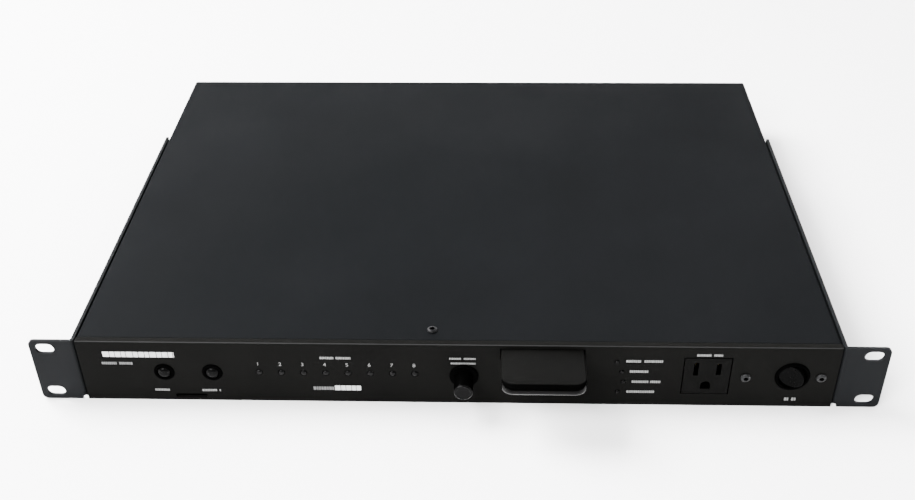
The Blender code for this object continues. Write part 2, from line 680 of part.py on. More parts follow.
def components():
    base = MAIN_PCB[2][1] + GAP
    for number, x in enumerate(RELAY_X, 1):
        bm = box((x - 10, x + 10), (RELAY_Y - 8, RELAY_Y + 8), (base, base + 15.5))
        bmesh.ops.bevel(bm, geom=bm.edges[:], offset=0.6, segments=1, affect="EDGES")
        finish(place("relay_%d" % number, bm), "relay_case")
    y = FRONT + 196.0
    finish(place("surge_module", box((95, 145), (y - 15, y + 15), (base, base + 20))),
           "moulded_black")
    finish(place("filter_capacitor", box((-46, -14), (y - 9, y + 9),
                                         (base, base + 24))), "yellow_film")
    ring_r, wire_r = 13.0, 5.5
    section = [(ring_r + wire_r * math.cos(math.tau * i / 8),
                wire_r * math.sin(math.tau * i / 8)) for i in range(8)]
    choke = bmesh.new()
    verts = [choke.verts.new((r, 0.0, h)) for r, h in section]
    edges = [choke.edges.new((verts[i], verts[(i + 1) % 8])) for i in range(8)]
    bmesh.ops.spin(choke, geom=verts + edges, cent=(0, 0, 0), axis=(0, 0, 1),
                   angle=math.tau, steps=20, use_merge=True)
    bmesh.ops.remove_doubles(choke, verts=choke.verts, dist=0.001)
    bmesh.ops.translate(choke, verts=choke.verts, vec=(40.0, y, base + wire_r))
    finish(place("filter_choke", choke), "copper_winding", smooth=True)
    cx, cy, low = -155.0, FRONT + 150.0, TRAY_T + GAP
    core = place("transformer", box((cx - 28, cx + 28), (cy - 11, cy + 11),
                                    (low, low + 34)))
    combine(core, box((cx - 18, cx + 18), (cy - 22, cy + 22), (low + 6, low + 28)),
            "UNION")
    finish(core, "bare_steel")


def build():
    clear_scene()
    front_panel()
    rack_ear("rack_ear_left", -1)
    rack_ear("rack_ear_right", 1)
    top_cover()
    chassis_tray()
    rear_panel()
    screws()
    buttons()
    lamps()
    dimmer()
    light_drawer()
    breaker()
    outlets()
    power_inlet()
    network_jack()
    boards()
    components()


build()
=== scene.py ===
"""Looks of the rack power strip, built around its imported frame.

All places come from the frame's own boxes.  Profiles and offsets are in
millimetres; the frame is in metres, X right, Y towards the back, Z up.
"""
import json
import math

import bmesh
import bpy
from mathutils import Matrix, Vector

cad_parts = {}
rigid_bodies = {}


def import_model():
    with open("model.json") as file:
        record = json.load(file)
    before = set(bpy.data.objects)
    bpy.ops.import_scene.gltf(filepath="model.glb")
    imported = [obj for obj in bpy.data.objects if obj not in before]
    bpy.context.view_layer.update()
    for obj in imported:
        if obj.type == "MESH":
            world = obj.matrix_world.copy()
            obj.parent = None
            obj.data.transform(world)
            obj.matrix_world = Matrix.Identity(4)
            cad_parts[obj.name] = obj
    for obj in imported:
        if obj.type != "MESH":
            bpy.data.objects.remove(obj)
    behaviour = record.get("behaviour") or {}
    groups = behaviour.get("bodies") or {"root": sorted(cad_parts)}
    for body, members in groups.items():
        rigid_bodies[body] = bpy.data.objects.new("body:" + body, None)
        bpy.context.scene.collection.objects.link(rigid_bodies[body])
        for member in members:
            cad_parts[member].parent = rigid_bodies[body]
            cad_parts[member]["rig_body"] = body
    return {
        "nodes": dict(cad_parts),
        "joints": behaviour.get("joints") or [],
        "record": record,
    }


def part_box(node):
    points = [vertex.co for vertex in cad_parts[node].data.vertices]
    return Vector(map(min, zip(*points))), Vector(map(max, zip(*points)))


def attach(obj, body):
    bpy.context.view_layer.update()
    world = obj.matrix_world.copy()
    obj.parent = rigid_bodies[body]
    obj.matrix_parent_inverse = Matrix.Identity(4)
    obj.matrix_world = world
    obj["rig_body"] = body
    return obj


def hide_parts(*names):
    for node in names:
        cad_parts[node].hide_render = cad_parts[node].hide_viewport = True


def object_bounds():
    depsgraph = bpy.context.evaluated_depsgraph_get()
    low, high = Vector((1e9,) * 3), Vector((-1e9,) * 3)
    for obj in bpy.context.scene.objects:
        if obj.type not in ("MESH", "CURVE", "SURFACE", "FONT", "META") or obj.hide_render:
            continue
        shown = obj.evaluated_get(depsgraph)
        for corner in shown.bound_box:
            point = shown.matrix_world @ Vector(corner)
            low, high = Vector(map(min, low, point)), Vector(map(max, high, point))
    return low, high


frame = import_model()
cad_low, cad_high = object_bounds()

# ---- finish, metres --------------------------------------------------------
MM = 0.001
ROUND = 96                # steps round a turned piece
SHARP = math.radians(36.0)    # edges sharper than this stay hard
WEAR_EDGE = 0.0003        # width of the rubbed stretch along an edge
EDGE_TONE_PATCHES = 160.0      # scale of the gaps in the lighter edge stretch: rubbed wear, and the rocker's painted rim highlight
SPECK_SHARE = 0.35        # how much of the light tone the fine grain adds
RELIEF = 0.00012          # depth of the surface grain
COAT_ROUGH = 0.06

# ---- sizes, millimetres ----------------------------------------------------
LAMP_COUNT, LAMP_PITCH = 8, 12.7
LAMP_START = 3.0          # first lamp from the end of its bar
STATUS_LAMPS = ((2.8, 24.5), (5.9, 17.3), (7.2, 9.9), (4.4, 2.4))  # x, z from the bar's corner
HEX = 6                   # sides of a screw's recess
REST_TILT = 24.0          # degrees the rocker leans at rest, half of its throw
INK_PROUD = 0.035         # how far a printed bar stands on the panel
LABEL_SCALE = 0.82        # height of a bar against the height of its lettering
LABEL_HEIGHT = 2.4        # height for which the bars' widths are given
WORD_GAP = 0.11           # gap between bars, against their height
DIGIT_SIZE = 1.38         # size of the font for a digit of height 1

# ---- frame -----------------------------------------------------------------
NODES = frame["nodes"]
SLOT_OF = {part["node"]: part["material_slot"] for part in frame["record"]["subparts"]}
PANEL_LOW, PANEL_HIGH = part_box("front_panel")
FACE = PANEL_LOW.y        # the front panel's face
DIRECTIONS = {"Y": (0, 1, 0), "-Y": (0, -1, 0), "Z": (0, 0, 1),
              "X": (1, 0, 0), "-X": (-1, 0, 0)}


# ---- materials -------------------------------------------------------------
def surface(name, dark, light, rough, bump=0.0, grain=2200.0, metallic=0.0,
            specular=0.5, coat=0.0, edge_wear_and_highlight=None, patch=22.0, stretch=(1.0, 1.0, 1.0),
            edge=WEAR_EDGE):
    """Procedural finish: two tones mixed in clouds, uneven gloss, fine grain
    and a lighter tone on the edges, which is rubbed wear on most finishes and a painted
    highlight on the rocker's rim.  patch and grain are the noises' scales."""
    mat = bpy.data.materials.new(name)
    mat.use_nodes = True
    tree = mat.node_tree
    nodes, link = tree.nodes, tree.links.new
    shader = nodes["Principled BSDF"]
    shader.inputs["Metallic"].default_value = metallic
    shader.inputs["Specular IOR Level"].default_value = specular
    shader.inputs["Coat Weight"].default_value = coat
    shader.inputs["Coat Roughness"].default_value = COAT_ROUGH
    coord = nodes.new("ShaderNodeTexCoord")
    place = nodes.new("ShaderNodeMapping")
    place.inputs["Scale"].default_value = stretch
    link(coord.outputs["Object"], place.inputs["Vector"])

    def noise(scale, detail, roughness=0.55):
        """Noise over the piece's own coordinates."""
        node = nodes.new("ShaderNodeTexNoise")
        node.inputs["Scale"].default_value = scale
        node.inputs["Detail"].default_value = detail
        node.inputs["Roughness"].default_value = roughness
        link(place.outputs["Vector"], node.inputs["Vector"])
        return node.outputs["Fac"]

    def spread(value, low, high, start=0.3, end=0.7):
        """The stretch from start to end of a value, laid out from low to high."""
        node = nodes.new("ShaderNodeMapRange")
        node.inputs["From Min"].default_value = start
        node.inputs["From Max"].default_value = end
        node.inputs["To Min"].default_value = low
        node.inputs["To Max"].default_value = high
        link(value, node.inputs["Value"])
        return node.outputs["Result"]

    def mix(factor, a, b):
        """Blend of two colours, each a tuple or another node's output."""
        node = nodes.new("ShaderNodeMix")
        node.data_type = "RGBA"
        link(factor, node.inputs["Factor"])
        for socket, value in ((node.inputs["A"], a), (node.inputs["B"], b)):
            if isinstance(value, tuple):
                socket.default_value = (*value, 1.0)
            else:
                link(value, socket)
        return node.outputs["Result"]

    clouds = spread(noise(patch, 4.0), 0.0, 1.0)
    speck = spread(noise(grain * 0.6, 2.0), 0.0, 1.0, 0.35, 0.65)
    colour = mix(clouds, dark, light)
    blend = nodes.new("ShaderNodeMath")
    blend.operation = "MULTIPLY"
    blend.inputs[1].default_value = SPECK_SHARE
    link(speck, blend.inputs[0])
    colour = mix(blend.outputs["Value"], colour, light)
    # Lighter edges: rubbed wear, and on the rocker a painted highlight along its rim.
    if edge_wear_and_highlight:
        bevel = nodes.new("ShaderNodeBevel")
        bevel.samples = 4
        bevel.inputs["Radius"].default_value = edge
        geometry = nodes.new("ShaderNodeNewGeometry")
        dot = nodes.new("ShaderNodeVectorMath")
        dot.operation = "DOT_PRODUCT"
        link(bevel.outputs["Normal"], dot.inputs[0])
        link(geometry.outputs["Normal"], dot.inputs[1])
        lighter_edge = spread(dot.outputs["Value"], 1.0, 0.0, 0.75, 0.985)
        broken = nodes.new("ShaderNodeMath")
        broken.operation = "MULTIPLY"
        link(lighter_edge, broken.inputs[0])
        link(spread(noise(EDGE_TONE_PATCHES, 5.0), 0.25, 1.0), broken.inputs[1])
        colour = mix(broken.outputs["Value"], colour, edge_wear_and_highlight)
    link(colour, shader.inputs["Base Color"])
    link(spread(noise(patch * 3.0, 5.0), rough[0], rough[1]), shader.inputs["Roughness"])
    if bump:
        relief = nodes.new("ShaderNodeBump")
        relief.inputs["Strength"].default_value = bump
        relief.inputs["Distance"].default_value = RELIEF
        link(noise(grain, 3.0, 0.6), relief.inputs["Height"])
        link(relief.outputs["Normal"], shader.inputs["Normal"])
    return mat


MATERIALS = {
    "powder_coat": surface(
        "powder_coat", (0.0018, 0.0020, 0.0022), (0.0027, 0.0029, 0.0032), (0.46, 0.58),
        bump=0.35, grain=1700.0, specular=0.004, edge_wear_and_highlight=(0.012, 0.0125, 0.0135), patch=9.0),
    "panel_paint": surface(
        "panel_paint", (0.0017, 0.0017, 0.0016), (0.0025, 0.0025, 0.0023), (0.44, 0.56),
        bump=0.25, grain=2100.0, specular=0.008, edge_wear_and_highlight=(0.005, 0.005, 0.005), patch=14.0),
    "gloss_black": surface(
        "gloss_black", (0.0007, 0.0007, 0.0007), (0.0012, 0.0012, 0.0012), (0.16, 0.26),
        bump=0.04, grain=900.0, specular=0.020, edge_wear_and_highlight=(0.003, 0.003, 0.003)),
    "moulded_black": surface(
        "moulded_black", (0.0013, 0.0013, 0.0012), (0.0019, 0.0019, 0.0018), (0.42, 0.55),
        bump=0.30, grain=2600.0, specular=0.008, edge_wear_and_highlight=(0.006, 0.006, 0.006)),
    "zinc_screw": surface(
        "zinc_screw", (0.005, 0.0052, 0.0054), (0.010, 0.0102, 0.0105), (0.34, 0.46),
        bump=0.08, grain=3000.0, metallic=0.3, specular=0.1, edge_wear_and_highlight=(0.02, 0.02, 0.021),
        patch=120.0),
    "black_screw": surface(
        "black_screw", (0.002, 0.002, 0.0022), (0.004, 0.004, 0.0043), (0.32, 0.46),
        bump=0.08, grain=3000.0, metallic=0.2, specular=0.05, edge_wear_and_highlight=(0.007, 0.007, 0.0075),
        patch=120.0),
    "clear_lens": surface(
        "clear_lens", (0.0002, 0.0002, 0.0002), (0.0007, 0.0007, 0.0007), (0.12, 0.22),
        bump=0.05, grain=1500.0, specular=0.05, patch=90.0),
    "white_lens": surface(
        "white_lens", (0.66, 0.68, 0.66), (0.80, 0.82, 0.80), (0.30, 0.42),
        bump=0.10, grain=1500.0, patch=60.0),
    "bare_steel": surface(
        "bare_steel", (0.10, 0.103, 0.106), (0.17, 0.174, 0.178), (0.30, 0.44), bump=0.20,
        grain=1800.0, metallic=1.0, edge_wear_and_highlight=(0.26, 0.26, 0.265), stretch=(1.0, 6.0, 1.0)),
    "green_board": surface(
        "green_board", (0.010, 0.085, 0.032), (0.018, 0.150, 0.055), (0.28, 0.40),
        bump=0.15, grain=1200.0, coat=0.3, patch=70.0),
    "relay_case": surface(
        "relay_case", (0.014, 0.036, 0.16), (0.022, 0.055, 0.24), (0.32, 0.44),
        bump=0.20, grain=2000.0, edge_wear_and_highlight=(0.06, 0.11, 0.33)),
    "copper_winding": surface(
        "copper_winding", (0.36, 0.13, 0.05), (0.60, 0.25, 0.10), (0.22, 0.38),
        bump=0.25, grain=700.0, metallic=0.9, edge_wear_and_highlight=(0.75, 0.36, 0.16)),
    "yellow_film": surface(
        "yellow_film", (0.56, 0.38, 0.03), (0.76, 0.56, 0.06), (0.30, 0.42),
        bump=0.12, grain=1500.0, edge_wear_and_highlight=(0.85, 0.68, 0.16)),
}
INK = surface("label_ink", (0.075, 0.075, 0.074), (0.125, 0.125, 0.123), (0.50, 0.62),
              bump=0.20, grain=4200.0, specular=0.2, patch=420.0)
DIM_INK = surface("dim_ink", (0.045, 0.045, 0.045), (0.080, 0.080, 0.080), (0.50, 0.62),
                  bump=0.20, grain=4200.0, specular=0.2, patch=420.0)
CONTACT = surface("contact_metal", (0.10, 0.072, 0.032), (0.17, 0.125, 0.058), (0.24, 0.36),
                  bump=0.15, grain=2400.0, metallic=1.0, edge_wear_and_highlight=(0.26, 0.20, 0.10))
PIN_METAL = surface("pin_metal", (0.13, 0.13, 0.127), (0.20, 0.20, 0.195), (0.20, 0.32),
                    bump=0.12, grain=2400.0, metallic=1.0, edge_wear_and_highlight=(0.30, 0.30, 0.29))
# Near-black with almost no gloss: painted shade. It is laid in recesses and on glossy black
# parts in place of their dark reflection.
PAINTED_SHADE_BLACK = surface("painted_shade_black", (0.0001, 0.0001, 0.0001), (0.0003, 0.0003, 0.0003),
                     (0.40, 0.55), bump=0.1, specular=0.002)
# Darker copy of the gloss black for the rocker, with lighter rim edges: painted shade on the
# paddle and a painted highlight on its rim.
ROCKER_SHADE_AND_RIM_HIGHLIGHT = surface("rocker_shade_and_rim_highlight", (0.0003, 0.0003, 0.0003), (0.0007, 0.0007, 0.0007),
                       (0.18, 0.28), bump=0.05, grain=900.0, specular=0.012,
                       edge_wear_and_highlight=(0.006, 0.006, 0.006), edge=0.0005)
# Lighter copy of the panel paint for the middle of the panel's rounded top edge: a painted
# highlight along the bend.
PANEL_BEND_HIGHLIGHT = surface("panel_bend_highlight", (0.0075, 0.0076, 0.0076), (0.0108, 0.0109, 0.0109),
                     (0.40, 0.52), bump=0.2, grain=2100.0, specular=0.02, patch=40.0)
# Lighter, glossier copy of the powder coat for the rack ears: painted light, so the ears read
# brighter.
EAR_COAT_PAINTED_LIGHT = surface("ear_coat_painted_light", (0.0028, 0.0030, 0.0033), (0.0040, 0.0043, 0.0047),
                   (0.46, 0.58), bump=0.35, grain=1700.0, specular=0.02,
                   edge_wear_and_highlight=(0.010, 0.0105, 0.011), patch=12.0)
MARK_INK = surface("mark_ink", (0.30, 0.30, 0.30), (0.42, 0.42, 0.42), (0.50, 0.62),
                   bump=0.20, grain=4200.0, specular=0.2, patch=420.0)


# ---- pieces ----------------------------------------------------------------
def shade(mesh):
    """Smooth shading, with hard edges where the form turns sharply."""
    for poly in mesh.polygons:
        poly.use_smooth = True
    mesh.set_sharp_from_angle(angle=SHARP)


def piece(name, bm, materials, body, slot, replaces=()):
    """Finished piece from a bmesh in frame metres."""
    bmesh.ops.recalc_face_normals(bm, faces=bm.faces)
    mesh = bpy.data.meshes.new(name)
    bm.to_mesh(mesh)
    bm.free()
    for mat in materials:
        mesh.materials.append(mat)
    shade(mesh)
    obj = bpy.data.objects.new(name, mesh)
    bpy.context.scene.collection.objects.link(obj)
    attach(obj, body)
    if replaces:
        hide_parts(*replaces)
    return obj


def fillet(profile, size, steps=5):
    """Round the inner corners of a profile by up to a given length."""
    result = [profile[0]]
    for i in range(1, len(profile) - 1):
        a, b, c = (Vector(profile[i + k]) for k in (-1, 0, 1))
        before, after = a - b, c - b
        reach = min(size, before.length * 0.45, after.length * 0.45)
        p = b + before.normalized() * reach
        q = b + after.normalized() * reach
        for k in range(steps + 1):
            t = k / steps
            point = p * (1 - t) ** 2 + b * 2 * t * (1 - t) + q * t ** 2
            result.append((point.x, point.y))
    result.append(profile[-1])
    return result


def dome(radius, base, height, steps):
    """Profile of a dome, from its top on the axis down to its rim."""
    profile = [(0.0, base - height)]
    for k in range(1, steps + 1):
        angle = math.radians(90.0 * k / steps)
        profile.append((radius * math.sin(angle), base - height * math.cos(angle)))
    return profile


def turn(profile, centre, axis="Y", steps=ROUND):
    """Turned solid: (radius, height) in millimetres about an axis through centre.
    Height runs along +Y, or out of the surface along the axis given."""
    bm = bmesh.new()
    rings = []
    for radius, height in profile:
        if radius < 1e-6:
            rings.append([bm.verts.new((0.0, 0.0, height * MM))])
            continue
        ring = []
        for k in range(steps):
            angle = math.tau * k / steps
            ring.append(bm.verts.new((radius * MM * math.cos(angle),
                                      radius * MM * math.sin(angle), height * MM)))
        rings.append(ring)
    for low, high in zip(rings, rings[1:]):
        for k in range(steps):
            j = (k + 1) % steps
            quad = [low[k % len(low)], low[j % len(low)],
                    high[j % len(high)], high[k % len(high)]]
            corners = list(dict.fromkeys(quad))
            if len(corners) > 2:
                bm.faces.new(corners)
    if profile[0] == profile[-1]:
        bmesh.ops.remove_doubles(bm, verts=bm.verts, dist=1e-7)
    spin = Vector((0, 0, 1)).rotation_difference(Vector(DIRECTIONS[axis]))
    matrix = Matrix.Translation(Vector(centre)) @ spin.to_matrix().to_4x4()
    bmesh.ops.transform(bm, verts=bm.verts, matrix=matrix)
    return bm


def block(low, high, soft=0.0, segments=2):
    """Box in frame metres with softened edges."""
    bm = bmesh.new()
    low, high = Vector(low), Vector(high)
    matrix = Matrix.Translation((low + high) / 2) @ Matrix.Diagonal((*(high - low), 1.0))
    bmesh.ops.create_cube(bm, size=1.0, matrix=matrix)
    if soft:
        bmesh.ops.bevel(bm, geom=bm.edges[:], offset=soft, segments=segments,
                        profile=0.5, affect="EDGES")
    return bm


def join(*parts):
    """Several bmeshes as one."""
    whole = bmesh.new()
    for index, part in enumerate(parts):
        mesh = bpy.data.meshes.new("joined_%d" % index)
        part.to_mesh(mesh)
        part.free()
        whole.from_mesh(mesh)
        bpy.data.meshes.remove(mesh)
    return whole


def paint(bm, index):
    """Bmesh with all its faces in one material."""
    for face in bm.faces:
        face.material_index = index
    return bm


def carve(bm, tool):
    """Bmesh with another one cut out of it."""
    objects = []
    for label, part in (("carve_body", bm), ("carve_tool", tool)):
        bmesh.ops.recalc_face_normals(part, faces=part.faces)
        mesh = bpy.data.meshes.new(label)
        part.to_mesh(mesh)
        part.free()
        obj = bpy.data.objects.new(label, mesh)
        bpy.context.scene.collection.objects.link(obj)
        objects.append(obj)
    step = objects[0].modifiers.new("cut", "BOOLEAN")
    step.operation = "DIFFERENCE"
    step.solver = "EXACT"
    step.object = objects[1]
    bpy.context.view_layer.update()
    shaped = objects[0].evaluated_get(bpy.context.evaluated_depsgraph_get())
    result = bmesh.new()
    result.from_mesh(shaped.to_mesh())
    shaped.to_mesh_clear()
    for obj in objects:
        bpy.data.objects.remove(obj)
    return result


def skin(node, soft=0.25, pick=None, extra=(), finish=None):
    """The frame's own form with its edges softened, in its slot's finish."""
    bm = bmesh.new()
    bm.from_mesh(NODES[node].data)
    bmesh.ops.remove_doubles(bm, verts=bm.verts, dist=2e-6)
    bmesh.ops.dissolve_limit(bm, angle_limit=math.radians(0.6), verts=bm.verts,
                             edges=bm.edges)
    for face in bm.faces:
        face.material_index = pick(face) if pick else 0
    slot = SLOT_OF[node]
    obj = piece(node + "_finish", bm, finish or [MATERIALS[slot], *extra],
                NODES[node]["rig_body"], slot, (node,))
    if soft:
        step = obj.modifiers.new("soft_edges", "BEVEL")
        step.width = soft * MM
        step.segments = 2
        step.limit_method = "ANGLE"
        step.angle_limit = SHARP
        step.harden_normals = True
    return obj


def middle(node):
    """Middle of a node's box."""
    low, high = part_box(node)
    return (low + high) / 2


# ---- sheet metal -----------------------------------------------------------
def case():
    """Cover, rear panel, ears, tray and front panel."""
    skin("top_cover", soft=0.25)
    skin("rear_panel", soft=0.2)
    # The rack ears take the lighter copy of the powder coat, as painted light.
    for node in ("rack_ear_left", "rack_ear_right"):
        skin(node, soft=0.0, finish=[EAR_COAT_PAINTED_LIGHT])

    front_wall = FACE + 5.0 * MM

    def shaded(face):
        """The tray's front wall, which only shows through the panel's notch and is painted
        near-black as painted shade.
        """
        return 1 if face.calc_center_median().y < front_wall else 0

    skin("chassis_tray", soft=0.2, pick=shaded, extra=(PAINTED_SHADE_BLACK,))

    def bend(face):
        """The middle of the rounded top edge, which is painted lighter as a painted highlight
        along the bend.
        """
        return 1 if face.normal.z > 0.45 and face.normal.y < -0.35 else 0

    skin("front_panel", soft=0.3, pick=bend, extra=(PANEL_BEND_HIGHLIGHT,))


# ---- screws ----------------------------------------------------------------
def screws():
    """Button-head screws with a hex recess; each head faces away from its sheet."""
    head, tall, shank, tip = 2.9, 1.54, 1.5, 1.2
    recess, deep = 1.45, 1.3
    for node in sorted(NODES):
        if "_screw_" not in node:
            continue
        low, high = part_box(node)
        if node == "cover_screw_front":
            axis, index = "Z", 2
        elif node.startswith("panel"):
            axis, index = "-Y", 1
        else:
            axis, index = ("X" if low.x > 0 else "-X"), 0
        centre = (low + high) / 2
        length = (high - low)[index] / MM
        # the head stands on the sheet, the rest is shank behind it
        centre[index] = (low if axis.startswith("-") else high)[index]
        profile = fillet([
            (0.0, 0.0), (1.9, 0.0), (head, -0.75), (head, -tall), (shank, -tall),
            (shank, -length + 0.3), (tip, -length), (0.0, -length),
        ], 0.45)
        key = [(0.0, 0.4), (recess, 0.4), (recess, -deep), (0.0, -deep)]
        shaped = carve(turn(profile, centre, axis, 64), turn(key, centre, axis, HEX))
        # Faces inside the hex recess take the near-black painted shade.
        outward = Vector(DIRECTIONS[axis])
        for face in shaped.faces:
            away = face.calc_center_median() - centre
            height = away.dot(outward)
            inner = (away - outward * height).length < 1.5 * MM
            face.material_index = 1 if inner and -1.4 * MM < height < -0.1 * MM else 0
        slot = SLOT_OF[node]
        piece(node + "_finish", shaped, [MATERIALS[slot], PAINTED_SHADE_BLACK], "chassis", slot,
              (node,))


# ---- reboot buttons --------------------------------------------------------
def buttons():
    """Two domed buttons in round bezels."""
    dome_steps, radius, height = 14, 3.65, 2.0
    for number in (1, 2):
        mid = middle("reboot_button_%d" % number)
        at = (mid.x, FACE, mid.z)
        ring = fillet([
            (5.2, -0.06), (5.85, -0.06), (5.85, -0.45), (5.4, -0.85), (4.25, -0.85),
            (4.0, -0.55), (4.0, 0.8), (4.9, 0.8), (4.9, 4.5), (5.2, 4.5), (5.2, -0.06),
        ], 0.28)
        ring[-1] = ring[0]
        # The bezel takes the near-black painted shade in place of its dark reflection, while
        # the cap keeps the gloss black.
        piece("button_bezel_%d_finish" % number, turn(ring, at), [PAINTED_SHADE_BLACK],
              "chassis", "gloss_black", ("button_bezel_%d" % number,))
        cap = dome(radius, -0.1, height, dome_steps)
        cap += [(radius, 1.2), (4.6, 1.2), (4.6, 2.2), (1.8, 2.2), (1.8, 4.4), (0.0, 4.4)]
        piece("reboot_button_%d_finish" % number, turn(cap, at), [MATERIALS["gloss_black"]],
              "button_%d" % number, "gloss_black", ("reboot_button_%d" % number,))


# ---- light pipes -----------------------------------------------------------
def pipes(node, places, radius):
    """Row of domed light pipes on the bar that carries them."""
    low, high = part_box(node)
    bar = block((low.x, FACE + 4.0 * MM, low.z), high, 0.3 * MM)
    parts = [bar]
    for x, z in places:
        profile = dome(radius, 0.3, 1.05, 8) + [(radius, 4.4), (0.0, 4.4)]
        parts.append(turn(profile, (x, FACE, z), "Y", 40))
    piece(node + "_finish", join(*parts), [MATERIALS["clear_lens"]], "chassis",
          "clear_lens", (node,))


def lamps():
    """Eight outlet lamps in a row and four status lamps in an arc."""
    low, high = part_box("outlet_light_pipe")
    middle_z = (low.z + high.z) / 2
    pipes("outlet_light_pipe",
          [(low.x + (LAMP_START + LAMP_PITCH * i) * MM, middle_z)
           for i in range(LAMP_COUNT)], 1.8)
    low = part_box("status_light_pipe")[0]
    pipes("status_light_pipe",
          [(low.x + dx * MM, low.z + dz * MM) for dx, dz in STATUS_LAMPS], 1.2)


# ---- front details ---------------------------------------------------------
def knob():
    """Dimmer knob: a slim grip on a wide skirt, with its shaft."""
    mid = middle("dimmer_knob")
    at = (mid.x, FACE, mid.z)
    profile = fillet([
        (0.0, -9.0), (3.3, -9.0), (3.3, -0.4), (8.2, -0.4), (8.2, -1.1), (7.6, -1.8),
        (5.6, -2.1), (5.3, -14.4), (4.7, -15.0), (4.3, -15.0), (4.1, -14.8), (0.0, -14.8),
    ], 0.5)
    body = turn(profile, at, "Y", 120)
    # The body and skirt take the near-black painted shade in place of their reflection. Only
    # the end cap keeps the gloss black.
    cap_start = FACE - 14.0 * MM
    for face in body.faces:
        face.material_index = 1 if face.calc_center_median().y > cap_start else 0
    piece("dimmer_knob_finish", body, [MATERIALS["gloss_black"], PAINTED_SHADE_BLACK],
          "knob", "gloss_black", ("dimmer_knob",))
    low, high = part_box("dimmer_shaft")
    start, end, radius = (low.y - FACE) / MM, (high.y - FACE) / MM, 3.0
    shaft = fillet([(0.0, start), (radius, start), (radius, end), (0.0, end)], 0.4)
    piece("dimmer_shaft_finish", turn(shaft, at, "Y", 64), [MATERIALS["bare_steel"]],
          "knob", "bare_steel", ("dimmer_shaft",))


def drawer():
    """Pull-out light: a slab with a round nose and a rim that is slimmer at the
    sides than at the nose."""
    low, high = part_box("light_drawer")
    corner, rim, side_share, steps, turns = 7.0 * MM, 3.6 * MM, 0.25, 18, 12

    def outline(inset, z):
        """Outline of the slab at one level, drawn in by the rim's inset."""
        side_inset = inset * side_share
        x0, x1, y0 = low.x + side_inset, high.x - side_inset, low.y + inset
        rx, ry = corner - side_inset, corner - inset
        points = [(x0, high.y, z)]
        for cx, start in ((x0 + rx, 180.0), (x1 - rx, 270.0)):
            for k in range(steps + 1):
                angle = math.radians(start + 90.0 * k / steps)
                points.append((cx + rx * math.cos(angle),
                               y0 + ry + ry * math.sin(angle), z))
        points.append((x1, high.y, z))
        return points

    bm = bmesh.new()
    rings = []
    for side, level in ((-1, low.z + rim), (1, high.z - rim)):
        span = range(turns + 1) if side > 0 else range(turns, -1, -1)
        for k in span:
            angle = math.radians(90.0 * k / turns)
            inset = rim * (1.0 - math.cos(angle))
            ring = outline(inset, level + side * rim * math.sin(angle))
            rings.append([bm.verts.new(p) for p in ring])
    for a, b in zip(rings, rings[1:]):
        for k in range(len(a)):
            j = (k + 1) % len(a)
            bm.faces.new((a[k], a[j], b[j], b[k]))
    bm.faces.new(rings[0])
    bm.faces.new(list(reversed(rings[-1])))
    lens_low, lens_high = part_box("light_lens")
    gap = 0.2 * MM
    pocket = block((lens_low.x - gap, lens_low.y - gap, low.z - 1.0 * MM),
                   (lens_high.x + gap, lens_high.y + gap, low.z + 2.6 * MM))
    shaped = carve(bm, pocket)
    # Faces of the rounded front edge that point well upwards take the near-black painted
    # shade. This is a painted dark band standing for the edge's dark reflection, between the
    # matte top and the glossy nose.
    glossy, matte, painted_dark_band = 0, 1, 2
    flat, lowest_dark_band = 0.97, 0.3       # how far up a face points
    for face in shaped.faces:
        if face.normal.z > flat or face.calc_center_median().y > FACE:
            face.material_index = matte
        else:
            face.material_index = painted_dark_band if face.normal.z > lowest_dark_band else glossy
    finish = [MATERIALS["gloss_black"], MATERIALS["moulded_black"], PAINTED_SHADE_BLACK]
    piece("light_drawer_finish", shaped, finish, "light", "moulded_black",
          ("light_drawer",))
    piece("light_lens_finish", block(lens_low, lens_high, 0.25 * MM),
          [MATERIALS["white_lens"]], "light", "white_lens", ("light_lens",))
    skin("light_led_strip", soft=0.1)
    skin("light_guide", soft=0.2)


def breaker():
    """Round rocker switch: collar, body and the tilting paddle."""
    low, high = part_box("breaker_body")
    rocker = [j for j in frame["joints"] if j["child"] == "rocker"][0]
    pivot = Vector(rocker["pos_m"])
    at = (pivot.x, FACE, pivot.z)
    ring = fillet([
        (0.0, 8.5), (7.9, 8.5), (7.9, -1.0), (8.2, -1.25), (9.2, -1.25), (9.8, -0.6),
        (9.8, -0.06), (8.7, -0.06), (8.7, 12.0), (0.0, 12.0),
    ], 0.3)
    shell = block((low.x, FACE + 11.0 * MM, low.z), (high.x, FACE + 29.0 * MM, high.z),
                  0.6 * MM)
    blades = []
    thick, wide = 0.4, 3.15                 # half of a blade
    for offset in (-5.5, 5.5):
        blade = block(
            (pivot.x + (offset - thick) * MM, FACE + 28.5 * MM, pivot.z - wide * MM),
            (pivot.x + (offset + thick) * MM, high.y, pivot.z + wide * MM), 0.15 * MM)
        blades.append(paint(blade, 1))
    # The collar and body take the near-black painted shade. The blades are pin metal.
    piece("breaker_body_finish", join(turn(ring, at), shell, *blades),
          [PAINTED_SHADE_BLACK, PIN_METAL], "chassis", "gloss_black",
          ("breaker_body",))

    tilt = Matrix.Rotation(-math.radians(REST_TILT), 4, "Z")
    paddle = rocker_form()
    bmesh.ops.transform(paddle, verts=paddle.verts,
                        matrix=Matrix.Translation(pivot) @ tilt)
    piece("breaker_rocker_finish", paddle, [ROCKER_SHADE_AND_RIM_HIGHLIGHT], "rocker",
          "gloss_black", ("breaker_rocker",))


